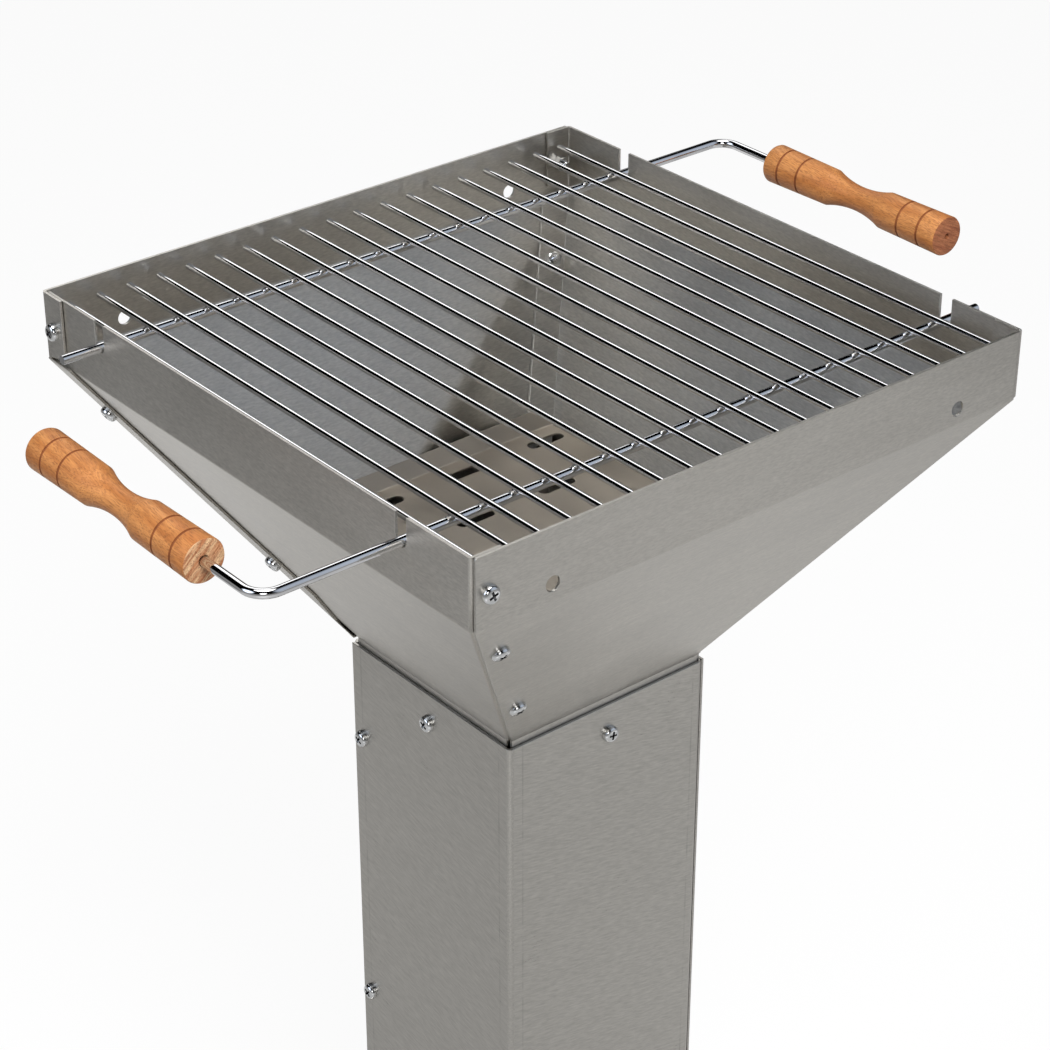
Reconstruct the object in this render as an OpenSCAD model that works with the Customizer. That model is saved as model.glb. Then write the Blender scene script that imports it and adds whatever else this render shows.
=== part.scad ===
// Park barbecue on a square pedestal: a hopper of four folded sheet panels on a
// column of two folded shells, with a lift-off wire grate, a slotted coal plate,
// an anchored foot and an ash drawer.
// The ground is z = 0 and the column's centre is the axis. The handles point to
// -X and +X, and the ash drawer pulls out toward -Y.

/* [Overall] */
// Height from the ground to the top of the rim
grill_height = 700; // [600:10:800]
// Thickness of every folded sheet
sheet = 1.5; // [1:0.1:2]
// Radius inside the folds of the column, the rim, the trays and the foot
fold_radius = 1.5; // [1:0.1:2.5]
// Radius inside the upright folds at the hopper's corners
corner_radius = 0.6; // [0.5:0.1:1.2]
// Gap between two lapped sheets
lap_gap = 0.2; // [0.1:0.05:0.3]
// How far a plain sheet end stays back from a folded corner
end_setback = 1.4; // [1.2:0.1:2]
// Running gap of the pieces that lift off or slide
slide_gap = 0.3; // [0.2:0.05:0.5]

/* [Hopper] */
// Width of the square hopper outside its rim
hopper_width = 350; // [340:1:360]
// Height of the upright rim wall
rim_height = 38; // [34:1:42]
// Slope of the hopper walls from the horizontal
slope_angle = 56; // [53:1:58]
// Radius outside the fold between the slope and the neck
neck_radius = 0.6; // [0.4:0.1:3]
// Length of the upright neck tongue below the slope
neck_length = 29; // [26:1:34]
// Width of the lapped corner flanges
lap_width = 17.5; // [16:0.5:20]
// Cut at the ends of the corner flanges
lap_cut = 10; // [6:1:11]
// Cut at the top corner of each plain sheet end
end_cut = 0.5; // [0.3:0.1:2]
// Relief between the rim flange and the slope flange
fold_relief = 1.5; // [1:0.5:3]
// Width of the notches that pass the grate's wires
notch_width = 8; // [7:0.5:10]
// Depth of the notches
notch_depth = 16.3; // [16:0.1:18]
// Diameter of the two holes in the front and back rims
side_hole = 8; // [5:0.5:10]
// Distance of those holes from the corners of the rim
side_hole_inset = 45; // [35:1:60]
// Depth of those holes below the rim's top
side_hole_drop = 29; // [26:1:31]

/* [Column] */
// Width of the square column
column_width = 136; // [130:1:142]
// Top of the column below the fold of the hopper's neck
column_drop = 3.9; // [2:0.1:6]
// Gap between the neck and the inside of the column
neck_gap = 0.4; // [0.3:0.1:1]
// Width of the column's lapped flanges
column_lap = 18; // [16:0.5:20]
// Seam screws' distance from the column's corner
seam_inset = 8.5; // [8:0.5:9.5]
// Highest seam screw below the top of the column
seam_drop = 59; // [50:1:70]
// Lowest seam screw above the base plate
seam_rise = 76; // [72:1:100]

/* [Base] */
// Width of the square base plate
base_width = 300; // [280:5:330]
// Thickness of the base plate
base_thickness = 6; // [5:0.5:8]
// Corner radius of the base plate
base_corner = 12; // [5:1:20]
// Distance of the anchor holes from the plate's sides
anchor_inset = 25; // [20:1:30]
// Diameter of the anchor holes
anchor_hole = 11; // [9:0.5:13]
// Width of each foot tab
foot_width = 90; // [80:1:100]
// How far a foot tab reaches out from the column
foot_depth = 22; // [20:1:26]
// Distance between the two screws of a foot tab
foot_screw_spacing = 60; // [50:1:66]
// Slot beside a foot tab, and the lift of the column's edge off the plate
foot_relief = 3; // [2:0.5:4]

/* [Ash drawer] */
// Width of the drawer's tray
drawer_width = 110; // [100:1:112]
// Depth of the drawer's tray
drawer_depth = 128; // [110:1:130]
// Height of the drawer's tray
drawer_height = 48; // [40:1:55]
// Width of the drawer's front
drawer_front_width = 124; // [116:1:130]
// Height of the drawer's front
drawer_front_height = 60; // [56:1:66]
// How far the pull lip stands out
pull_depth = 16; // [12:1:20]
// Side gap of the drawer in its opening
drawer_side_gap = 1; // [0.8:0.1:1.5]

/* [Fasteners] */
// Diameter of the screws
screw_d = 5; // [4:0.5:5]
// Diameter of the pan heads
head_d = 9.5; // [9:0.5:10]
// Height of the pan heads
head_h = 3.4; // [3:0.1:4]
// Length of the panel and column screws
screw_length = 11; // [10:0.5:12]
// Length of the foot screws
foot_screw_length = 7; // [6:0.5:7]
// Width of the cross recess
recess_w = 5; // [4:0.1:5.5]
// Breadth of each arm of the cross recess
recess_arm = 1.1; // [0.8:0.1:1.4]
// Depth of the cross recess
recess_h = 2; // [1.5:0.1:2.4]
// Width of the hexagon nuts across their flats
nut_width = 8; // [7:0.5:9]
// Height of the nuts
nut_h = 4; // [3.5:0.1:4.5]
// Radial gap of the screws in the sheets
hole_gap = 0.3; // [0.2:0.05:0.4]
// Radial gap of the screws in the nuts and in the base plate
thread_gap = 0.1; // [0.05:0.01:0.15]
// Distance of the corner screws from the corner
corner_inset = 9; // [8.5:0.5:10]
// Rim screws below the top of the rim
rim_screw_drop = 20; // [18:1:24]
// Upper slope screws below the top of the rim
upper_screw_drop = 70; // [62:1:80]
// Lower slope screws above the fold of the neck
lower_screw_rise = 47.5; // [42:0.1:47.7]
// How much higher the upper slope screw sits where the flange lies outside
outside_rise = 6; // [0:1:6]
// Neck screws below the fold of the neck
neck_screw_drop = 22; // [20:1:24]

/* [Coal plate] */
// Top of the coal plate above the fold of the neck
coal_rise = 59; // [58.8:0.1:66]
// Height of the turned-up lips along their slope
lip_length = 10; // [6:1:14]
// Cut at the ends of the lips
lip_cut = 9; // [5:1:12]
// Length of the slots
slot_length = 24.7; // [18:0.1:28]
// Width of the slots
slot_width = 7.5; // [5:0.5:10]
// Plate left beside the last slot of a row
slot_margin = 2.8; // [2.5:0.1:8]
// Middle of the outer rows of slots from the plate's fold
slot_row_margin = 13.6; // [8:0.1:20]

/* [Grate] */
// Number of grate bars
bar_count = 19; // [15:2:21]
// Diameter of the grate bars
bar_d = 3.5; // [3:0.1:4]
// Gap between the ends of the bars and the corner flanges
bar_end_gap = 1.8; // [1:0.1:6]
// Middle of the outermost bars from the outside of the rim
bar_inset = 10.5; // [8:0.5:16]
// Middle of the bars below the top of the rim
bar_drop = 9.5; // [8:0.1:10]
// Diameter of the two cross wires
wire_d = 5; // [4.5:0.1:5.5]
// How deep a bar is welded into a wire
weld_bite = 0.25; // [0.15:0.05:0.4]
// Distance of the cross wires from the outside of the rim
wire_inset = 51; // [46:1:60]
// Bend radius of a wire at its middle
wire_bend = 11; // [8:0.5:14]
// End of a wire's plain tip past the rim
wire_tip = 22; // [15:1:24]

/* [Handles] */
// Distance of a handle's axis from the outside of the rim
handle_reach = 76.5; // [70:0.5:80]
// Length of a handle
handle_length = 132.5; // [120:0.5:140]
// Diameter of a handle at its ends
handle_d = 22.4; // [21:0.1:24]
// Diameter of a handle beside its waist
shoulder_d = 21; // [18:0.5:21]
// Least diameter of a handle's waist
waist_d = 13.8; // [12:0.1:15]
// Length of the round end before the waist
handle_end = 45; // [40:0.5:48]
// First groove's distance from the end
groove_outer = 11; // [8:0.5:14]
// Second groove's distance from the end
groove_inner = 26; // [22:0.5:30]
// How much further in the grooves of the free end lie
free_groove_shift = 2; // [0:0.5:3]
// Radius of the grooves
groove_r = 0.9; // [0.6:0.1:1.2]
// Bevel at a handle's ends
handle_bevel = 1; // [0.5:0.1:1.5]
// How deep a wire goes into its handle
wire_grip = 60; // [50:1:80]
// Bare wire between its bend and the left handle
wire_reach = 30; // [25:0.5:35]
// The same at the right handle
back_wire_reach = 33.5; // [25:0.5:35]
// Radial gap of a wire in its handle
grip_gap = 0.2; // [0.1:0.05:0.3]
// Diameter of the small hole in a handle's free end
pilot_d = 3; // [2:0.5:4]
// Depth of that hole
pilot_h = 8; // [5:1:12]

/* [Hidden] */

overrun = 6;
fold_steps = 4;
corner_steps = 8;
sheet_color = "#a3a09a";
inner_color = "#8f8c86";
zinc_color = "#c9cbcc";
chrome_color = "#d4d6d8";
wood_color = "#b5713c";

rim_half = hopper_width / 2;
column_half = column_width / 2;
column_inner = column_half - sheet;
neck_half = column_inner - neck_gap;
rim_fold = grill_height - rim_height;
fold_rise = tan((90 - slope_angle) / 2);
neck_fold = rim_fold - (rim_half - neck_half) * tan(slope_angle);
neck_end = neck_fold - neck_length;
slope_run = (rim_half - neck_half) / cos(slope_angle);
lap_step = sheet + lap_gap;
outer_radius = fold_radius + sheet;
corner_outer = corner_radius + sheet;
column_top = neck_fold - column_drop;
plate_top = base_thickness;
drawer_z = plate_top + slide_gap;
drawer_back = column_half + slide_gap;
wire_drop = bar_drop + (bar_d + wire_d) / 2 - weld_bite;
wire_half = rim_half - wire_inset;
bar_length = 2 * (rim_half - sheet - lap_step - bar_end_gap);
bar_spread = 2 * (rim_half - bar_inset);
side_hole_spacing = 2 * (rim_half - side_hole_inset);
handle_x = rim_half + handle_reach;
handle_z = grill_height - wire_drop;

// Half the hopper's outer width at a height on its slope
function slope_half(z) = rim_half - (rim_fold - z) / tan(slope_angle);

// Points of an arc from angle a to angle b
function arc(c, r, a, b, n) = [for (i = [0:n])
    let (f = a + (b - a) * i / n) [c[0] + r * cos(f), c[1] + r * sin(f)]];

// The rim's fold at a depth d in from the panel's outer face, as (reach, height)
function rim_bend(d) = d < outer_radius
    ? arc([rim_half - outer_radius, rim_fold + fold_rise * outer_radius],
        outer_radius - d, 0, slope_angle - 90, fold_steps)
    : [[rim_half - d, rim_fold + fold_rise * d]];

// The neck's fold at a depth d
function neck_bend(d) = d > -neck_radius
    ? arc([neck_half + neck_radius, neck_fold - fold_rise * neck_radius],
        neck_radius + d, 90 + slope_angle, 180, fold_steps)
    : [[neck_half - d, neck_fold + fold_rise * d]];

// A panel's outline at a depth d from a height above to a height below
function panel_side(d, above, below) = concat([[rim_half - d, above]],
    rim_bend(d), neck_bend(d), [[neck_half - d, below]]);

// A point on the slope: s down from the rim's fold and d in from the outer face
function on_slope(s, d) = [rim_half - s * cos(slope_angle) - d * sin(slope_angle),
    rim_fold - s * sin(slope_angle) + d * cos(slope_angle)];

function flipped(points) = [for (p = points) [-p[0], p[1]]];
function backward(points) = [for (i = [len(points) - 1:-1:0]) points[i]];

// An outline in (reach, height) drawn along the front wall
module along_wall(points, length) {
    rotate([90, 0, 90]) linear_extrude(length, center = true) polygon(flipped(points));
}

// The space between two side walls at depths left and right, drawn across the part
module between_walls(left, right, above, below, length) {
    rotate([90, 0, 0]) linear_extrude(length, center = true)
        polygon(concat(panel_side(right, above, below),
            backward(flipped(panel_side(left, above, below)))));
}

// The waste outside a rounded upright rim corner, whose sharp corner is the origin
module rim_corner_waste(r) {
    translate([0, 0, rim_fold]) linear_extrude(rim_height + overrun)
        polygon(concat(arc([-r, r], r, -90, 0, corner_steps),
            [[overrun, r], [overrun, -overrun], [-r, -overrun]]));
}

// The waste outside a rounded hip, for a flange that starts at a depth lap
module hip_waste(depth, lap, r) {
    rise = atan(tan(slope_angle) / sqrt(2));
    half_turn = acos(pow(cos(slope_angle), 2)) / 2;
    back = r / cos(half_turn);
    low = neck_fold + fold_relief;
    reach = slope_half(low) - depth / sin(slope_angle);
    translate([reach - (lap - depth) / sin(slope_angle), -reach, low])
        rotate([0, 90 - rise, -45])
            linear_extrude((rim_fold + fold_relief - low) / sin(rise))
                polygon(concat(arc([-back, 0], r, -half_turn, half_turn, corner_steps),
                    [[overrun, r * sin(half_turn)], [overrun, -r * sin(half_turn)]]));
}

// Everything past the free edges of a panel's corner flange
module past_flange() {
    root = corner_outer + fold_relief;
    along_wall(concat(
        [[rim_half - lap_width, grill_height + overrun],
            [rim_half - lap_width, rim_fold + fold_relief + root],
            [rim_half - root, rim_fold + fold_relief],
            on_slope(fold_relief, root),
            on_slope(fold_relief + lap_cut, lap_width),
            on_slope(slope_run - fold_relief - lap_cut - lap_width, lap_width),
            on_slope(slope_run - fold_relief - lap_cut, sheet)],
        neck_bend(sheet),
        [[neck_half - sheet, neck_end - overrun],
            [-overrun, neck_end - overrun], [-overrun, grill_height + overrun]]),
        hopper_width + overrun);
}

// One folded panel, with a plain end at -X and a corner flange at +X.
// lap is the depth of the flange's outer face in the next panel.
module panel(lap, setback) {
    difference() {
        intersection() {
            along_wall(concat(panel_side(0, grill_height, neck_end),
                [[0, neck_end], [0, grill_height]]), hopper_width + overrun);
            between_walls(setback, lap, grill_height, neck_end, hopper_width + overrun);
        }
        difference() {
            intersection() {
                along_wall(concat(panel_side(sheet, grill_height + overrun, neck_end - overrun),
                    [[-overrun, neck_end - overrun], [-overrun, grill_height + overrun]]),
                    hopper_width + overrun);
                between_walls(-overrun / 4, lap + sheet, grill_height + overrun,
                    neck_end - overrun, hopper_width + overrun);
            }
            translate([rim_half - lap - sheet, sheet - rim_half, 0]) rim_corner_waste(corner_radius);
            hip_waste(sheet, lap + sheet, corner_radius);
        }
        translate([rim_half - lap, -rim_half, 0]) rim_corner_waste(corner_outer);
        hip_waste(0, lap, corner_outer);
        past_flange();
        end_waste(setback);
        tongue_waste();
        corner_holes(setback > end_setback);
        rotate(90) corner_holes(lap < 0);
        neck_hole();
    }
}

// The cut at the top of a panel's plain end
module end_waste(setback) {
    translate([setback - rim_half, 0, grill_height]) rotate([90, 45, 0])
        cube([end_cut * sqrt(2), end_cut * sqrt(2), hopper_width + overrun], center = true);
}

// The cut that keeps a neck tongue clear of the column's folds
module tongue_waste() {
    translate([column_half - lap_step - outer_radius, -rim_half, neck_end - overrun])
        cube([rim_half, rim_half, neck_length + overrun]);
}

// Seats of the screws at a wall's plain end, with +Z out of the wall
module at_rim_screw(depth) {
    translate([corner_inset - rim_half, depth - rim_half, grill_height - rim_screw_drop])
        rotate([90, 0, 0]) children();
}

module at_slope_screw(z, depth) {
    across = corner_inset / cos(atan(cos(slope_angle)));
    translate([across - slope_half(z), -slope_half(z), z])
        rotate([180 - slope_angle, 0, 0]) translate([0, 0, -depth]) children();
}

module at_neck_screw(reach) {
    translate([0, -reach, neck_fold - neck_screw_drop]) rotate([90, 0, 0]) children();
}

module screw_hole() {
    cylinder(r = screw_d / 2 + hole_gap, h = 4 * overrun, center = true, $fn = 32);
}

// Heights of a corner's two slope screws
function slope_heights(outside) = [
    grill_height - upper_screw_drop + (outside ? outside_rise : 0),
    neck_fold + lower_screw_rise + (outside ? outside_rise / 3 : 0)];

module corner_holes(outside) {
    at_rim_screw(0) screw_hole();
    for (z = slope_heights(outside)) at_slope_screw(z, 0) screw_hole();
}

module neck_hole() {
    at_neck_screw(neck_half) screw_hole();
}

// A pan-head screw whose head sits at z = 0 and points up
module screw(length) {
    crown = head_h / 3;
    edge = head_h - crown;
    difference() {
        rotate_extrude($fn = 48) polygon(concat(
            [[0, -length], [screw_d / 2 - thread_gap * 4, -length],
                [screw_d / 2, -length + thread_gap * 4], [screw_d / 2, 0], [head_d / 2, 0]],
            arc([head_d / 2 - edge, 0], edge, 0, 75, fold_steps),
            [[head_d / 4, head_h - crown / 6], [0, head_h]]));
        translate([0, 0, head_h]) {
            cube([recess_w, recess_arm, 2 * recess_h], center = true);
            cube([recess_arm, recess_w, 2 * recess_h], center = true);
        }
    }
}

// A hexagon nut from z = 0 down
module nut() {
    translate([0, 0, -nut_h]) difference() {
        cylinder(d = nut_width / cos(30), h = nut_h, $fn = 6);
        translate([0, 0, -overrun]) cylinder(r = screw_d / 2 + thread_gap, h = nut_h + 2 * overrun, $fn = 32);
    }
}

// The four hopper corners, each in the frame of the wall that holds its screws
module each_corner() {
    for (i = [0:3]) {
        $outside = i == 3;
        rotate(90 * i) children();
    }
}

// How deep the outer face under a corner's screw heads lies, and the inner one
function head_depth() = $outside ? -lap_step : 0;
function nut_depth() = $outside ? sheet : sheet + lap_step;

module rim_screws() {
    color(zinc_color) each_corner() at_rim_screw(head_depth()) screw(screw_length);
}

module rim_nuts() {
    color(zinc_color) each_corner() at_rim_screw(nut_depth()) nut();
}

module slope_screws() {
    color(zinc_color) each_corner() for (z = slope_heights($outside))
        at_slope_screw(z, head_depth()) screw(screw_length);
}

module slope_nuts() {
    color(zinc_color) each_corner() for (z = slope_heights($outside))
        at_slope_screw(z, nut_depth()) nut();
}

module side_holes() {
    for (side = [-1, 1])
        translate([side * side_hole_spacing / 2, -rim_half, grill_height - side_hole_drop])
            rotate([90, 0, 0])
                cylinder(d = side_hole, h = 2 * overrun, center = true, $fn = 48);
}

module notches() {
    for (side = [-1, 1])
        translate([side * wire_half, -rim_half, grill_height - notch_depth + notch_width / 2])
            rotate([90, 0, 0]) linear_extrude(2 * overrun, center = true) {
                circle(d = notch_width, $fn = 48);
                translate([-notch_width / 2, 0]) square([notch_width, notch_depth + overrun]);
            }
}

module hopper_front() {
    color(sheet_color) difference() {
        panel(lap_step, end_setback);
        side_holes();
    }
}

module hopper_right() {
    color(sheet_color) rotate(90) difference() {
        panel(lap_step, end_setback);
        notches();
    }
}

module hopper_back() {
    color(sheet_color) rotate(180) difference() {
        panel(-lap_step, end_setback);
        side_holes();
    }
}

module hopper_left() {
    color(sheet_color) rotate(270) difference() {
        panel(lap_step, sheet + end_setback);
        notches();
    }
}

// Plan of a column shell: a plain left wall, a fold, the front wall and its flange
module shell_plan() {
    far = column_half - lap_step;
    near = outer_radius - column_half;
    polygon(concat(
        [[-column_half, column_half - end_setback]],
        arc([near, near], outer_radius, 180, 270, corner_steps),
        arc([far - outer_radius, near], outer_radius, 270, 360, corner_steps),
        [[far, column_lap - column_half], [far - sheet, column_lap - column_half]],
        arc([far - outer_radius, near], fold_radius, 360, 270, corner_steps),
        arc([near, near], fold_radius, 270, 180, corner_steps),
        [[sheet - column_half, column_half - end_setback]]));
}

// Middle of the fold of a foot tab, over the base plate
foot_fold = plate_top + outer_radius;

// A shell from the plate to the top, with foot tabs on the walls turned by each angle
module shell(tabs) {
    difference() {
        translate([0, 0, plate_top + foot_relief / 4])
            linear_extrude(column_top - plate_top - foot_relief / 4) shell_plan();
        for (a = tabs) rotate(a)
            translate([-foot_width / 2 - foot_relief, -column_half - overrun, plate_top - overrun])
                cube([foot_width + 2 * foot_relief, 2 * overrun, outer_radius + foot_relief + overrun]);
        for (a = [0, 90, 180, 270]) rotate(a) at_neck_screw(column_half) screw_hole();
        seam_holes();
        flange_notch();
    }
    for (a = tabs) rotate(a) foot_tab();
}

// The cut in a shell's flange that lets the neck in
module flange_notch() {
    reach = neck_length - column_drop + slide_gap * 4;
    translate([column_half - lap_step - sheet - overrun / 2, outer_radius - column_half, column_top - reach])
        cube([sheet + overrun, column_lap, reach + overrun]);
}

// A foot tab on the front wall
module foot_tab() {
    top = foot_fold + foot_relief + sheet;
    difference() {
        rotate([90, 0, 90]) linear_extrude(foot_width, center = true) polygon(flipped(concat(
            [[column_half, top]],
            arc([column_half + fold_radius, foot_fold], fold_radius, 180, 270, corner_steps),
            [[column_half + foot_depth, plate_top + sheet], [column_half + foot_depth, plate_top]],
            arc([column_half + fold_radius, foot_fold], outer_radius, 270, 180, corner_steps),
            [[column_inner, top]])));
        at_foot_screws() screw_hole();
    }
}

module at_foot_screws() {
    for (side = [-1, 1])
        translate([side * foot_screw_spacing / 2, -column_half - (foot_depth + fold_radius) / 2,
            plate_top + sheet]) children();
}

// Heights of the seam screws: one near the top, one near the foot and one between
seam_low = plate_top + seam_rise;
seam_high = column_top - seam_drop;
seam_heights = [seam_low, (seam_low + seam_high) / 2, seam_high];

// Seam screws on the left wall near +Y, and on the right wall near -Y
module at_seam_screws(depth) {
    for (a = [0, 180], z = seam_heights)
        rotate(a) translate([depth - column_half, column_half - seam_inset, z])
            rotate([0, -90, 0]) children();
}

module seam_holes() {
    at_seam_screws(0) screw_hole();
}

drawer_opening = drawer_width + 2 * drawer_side_gap;
drawer_opening_top = drawer_z + drawer_height + drawer_side_gap;

module column_front_shell() {
    color(sheet_color) difference() {
        shell([270]);
        translate([-drawer_opening / 2, -column_half - overrun, 0])
            cube([drawer_opening, 2 * overrun, drawer_opening_top]);
    }
}

module column_back_shell() {
    color(sheet_color) rotate(180) shell([0, 270]);
}

module column_seam_screws() {
    color(zinc_color) at_seam_screws(0) screw(screw_length);
}

module column_seam_nuts() {
    color(zinc_color) at_seam_screws(sheet + lap_step) nut();
}

module neck_screws() {
    color(zinc_color) for (a = [0, 90, 180, 270]) rotate(a) at_neck_screw(column_half) screw(screw_length);
}

module neck_nuts() {
    color(zinc_color) for (a = [0, 90, 180, 270]) rotate(a) at_neck_screw(neck_half - sheet) nut();
}

anchor_spacing = base_width - 2 * anchor_inset;

module base_outline() {
    inner = base_width - 2 * base_corner;
    square([base_width, inner], center = true);
    square([inner, base_width], center = true);
    for (x = [-1, 1], y = [-1, 1])
        translate([x * inner / 2, y * inner / 2]) circle(base_corner, $fn = 64);
}

module base_plate() {
    color(sheet_color) difference() {
        linear_extrude(base_thickness) difference() {
            base_outline();
            for (x = [-1, 1], y = [-1, 1])
                translate([x * anchor_spacing / 2, y * anchor_spacing / 2])
                    circle(d = anchor_hole, $fn = 48);
        }
        for (a = [90, 180, 270]) rotate(a) at_foot_screws()
            cylinder(r = screw_d / 2 + thread_gap, h = 4 * overrun, center = true, $fn = 32);
    }
}

module foot_screws() {
    color(zinc_color) for (a = [90, 180, 270]) rotate(a) at_foot_screws() screw(foot_screw_length);
}

// Coal plate
coal_top = neck_fold + coal_rise;
coal_bottom = coal_top - sheet;
coal_depth = sheet + lap_step + slide_gap;
coal_half = slope_half(coal_bottom) - coal_depth / sin(slope_angle);
coal_bend = coal_half - outer_radius * tan(slope_angle / 2);
lip_rise = lip_length * sin(slope_angle);
slot_pitch = (2 * coal_half - 2 * slot_margin - slot_length) / 3;
slot_row_pitch = (coal_half - slot_row_margin) / 2;

module slot() {
    square([slot_length - slot_width, slot_width], center = true);
    for (side = [-1, 1])
        translate([side * (slot_length - slot_width) / 2, 0]) circle(d = slot_width, $fn = 48);
}

// The front lip with a strip of the floor, folded up along the front wall
module coal_lip() {
    c = [coal_bend, coal_bottom + outer_radius];
    low = slope_angle - 90;
    along = [lip_length * cos(slope_angle), lip_length * sin(slope_angle)];
    outer = c + outer_radius * [cos(low), sin(low)] + along;
    inner = c + fold_radius * [cos(low), sin(low)] + along;
    difference() {
        rotate([90, 0, 90]) linear_extrude(2 * coal_half, center = true) polygon(flipped(concat(
            [[coal_bend - outer_radius, coal_bottom]],
            arc(c, outer_radius, -90, low, fold_steps), [outer, inner],
            arc(c, fold_radius, low, -90, fold_steps),
            [[coal_bend - outer_radius, coal_top]])));
        for (side = [-1, 1]) scale([side, 1, 1]) rotate([90, 0, 0])
            linear_extrude(2 * hopper_width, center = true)
                polygon([[coal_half, coal_top + sheet], [coal_half - lip_cut, coal_top + sheet + lip_rise],
                    [coal_half - lip_cut, coal_top + 2 * lip_rise], [coal_half + overrun, coal_top + 2 * lip_rise],
                    [coal_half + overrun, coal_top + sheet]]);
    }
}

module coal_plate() {
    color(inner_color) {
        translate([0, 0, coal_bottom]) linear_extrude(sheet) difference() {
            square([2 * coal_half, 2 * coal_bend], center = true);
            for (row = [-2:2], i = [-1.5:1.5]) if (row % 2 == 0)
                translate([i * slot_pitch, row * slot_row_pitch]) slot();
            for (row = [-1, 1], i = [-1:1]) translate([i * slot_pitch, row * slot_row_pitch]) slot();
        }
        coal_lip();
        rotate(180) coal_lip();
    }
}

// Grate
module grate_bars() {
    color(chrome_color) for (i = [0:bar_count - 1])
        translate([(i / (bar_count - 1) - 1 / 2) * bar_spread, 0, grill_height - bar_drop])
            rotate([90, 0, 0]) cylinder(d = bar_d, h = bar_length, center = true, $fn = 32);
}

// The front wire: a plain tip at +X, a bend outside the left wall, then the handle
module cross_wire(reach) {
    corner_x = wire_bend - handle_x;
    color(chrome_color) translate([0, -wire_half, handle_z]) {
        translate([corner_x, 0, 0]) rotate([0, 90, 0])
            cylinder(d = wire_d, h = rim_half + wire_tip - corner_x, $fn = 48);
        translate([corner_x, wire_bend, 0]) rotate(180) rotate_extrude(angle = 90, $fn = 96)
            translate([wire_bend, 0]) circle(d = wire_d, $fn = 48);
        translate([-handle_x, wire_bend, 0]) rotate([-90, 0, 0])
            cylinder(d = wire_d, h = reach + wire_grip, $fn = 48);
    }
}

module cross_wire_front() {
    cross_wire(wire_reach);
}

module cross_wire_back() {
    rotate(180) cross_wire(back_wire_reach);
}

// A turned handle from its wire end at z = 0 up to its free end
module turned_handle() {
    r = handle_d / 2;
    half_waist = handle_length / 2 - handle_end;
    dip = (shoulder_d - waist_d) / 2;
    slant = (handle_d - shoulder_d) / 2 / handle_end;
    free_grooves = [groove_outer, groove_inner] + free_groove_shift * [1, 1];
    waist_r = (half_waist * half_waist + dip * dip) / (2 * dip);
    color(wood_color) difference() {
        rotate_extrude($fn = 96) difference() {
            polygon([[0, 0], [r - handle_bevel, 0], [r, handle_bevel],
                [shoulder_d / 2, handle_end], [shoulder_d / 2, handle_length - handle_end],
                [r, handle_length - handle_bevel], [r - handle_bevel, handle_length],
                [0, handle_length]]);
            translate([waist_d / 2 + waist_r, handle_length / 2]) circle(waist_r, $fn = 360);
            for (s = [groove_outer, groove_inner])
                translate([r - slant * s, s]) circle(groove_r, $fn = 24);
            for (s = free_grooves)
                translate([r - slant * s, handle_length - s]) circle(groove_r, $fn = 24);
        }
        translate([0, 0, -overrun]) cylinder(r = wire_d / 2 + grip_gap, h = wire_grip + slide_gap + overrun, $fn = 48);
        translate([0, 0, handle_length - pilot_h]) cylinder(d = pilot_d, h = pilot_h + overrun, $fn = 32);
    }
}

module on_wire(reach) {
    translate([-handle_x, wire_bend + reach - wire_half, handle_z]) rotate([-90, 0, 0]) children();
}

module handle_left() {
    on_wire(wire_reach) turned_handle();
}

module handle_right() {
    rotate(180) on_wire(back_wire_reach) turned_handle();
}

// Ash drawer
module drawer_front() {
    top = drawer_z + drawer_front_height;
    c = [drawer_back + outer_radius, top - outer_radius];
    rotate([90, 0, 90]) linear_extrude(drawer_front_width, center = true) polygon(flipped(concat(
        [[drawer_back, drawer_z]],
        arc(c, outer_radius, 180, 90, corner_steps),
        [[drawer_back + pull_depth, top], [drawer_back + pull_depth, top - sheet]],
        arc(c, fold_radius, 90, 180, corner_steps),
        [[drawer_back + sheet, drawer_z]])));
}

module ash_drawer() {
    color(sheet_color) {
        drawer_front();
        translate([-drawer_width / 2, -drawer_back, drawer_z]) difference() {
            cube([drawer_width, drawer_depth, drawer_height]);
            translate([sheet, -overrun, sheet])
                cube([drawer_width - 2 * sheet, drawer_depth - sheet + overrun, drawer_height + overrun]);
        }
    }
}

base_plate();
foot_screws();
column_front_shell();
column_back_shell();
column_seam_screws();
column_seam_nuts();
neck_screws();
neck_nuts();
hopper_front();
hopper_right();
hopper_back();
hopper_left();
rim_screws();
rim_nuts();
slope_screws();
slope_nuts();
coal_plate();
grate_bars();
cross_wire_front();
cross_wire_back();
handle_left();
handle_right();
ash_drawer();
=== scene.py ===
import bpy
import bmesh
import math
from mathutils import Matrix, Vector


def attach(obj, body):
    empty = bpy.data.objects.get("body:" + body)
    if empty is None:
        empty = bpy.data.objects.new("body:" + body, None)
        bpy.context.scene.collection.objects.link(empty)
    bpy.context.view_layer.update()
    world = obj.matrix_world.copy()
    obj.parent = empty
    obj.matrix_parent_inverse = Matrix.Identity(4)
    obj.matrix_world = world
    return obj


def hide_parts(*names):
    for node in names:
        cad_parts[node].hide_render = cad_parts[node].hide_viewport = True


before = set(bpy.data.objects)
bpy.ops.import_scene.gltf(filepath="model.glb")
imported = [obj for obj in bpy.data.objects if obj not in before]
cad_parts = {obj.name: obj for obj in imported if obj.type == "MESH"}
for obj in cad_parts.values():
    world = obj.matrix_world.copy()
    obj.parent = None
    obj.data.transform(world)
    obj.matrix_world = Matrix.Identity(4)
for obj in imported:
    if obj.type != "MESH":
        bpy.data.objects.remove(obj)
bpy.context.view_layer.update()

mm = 0.001

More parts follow.
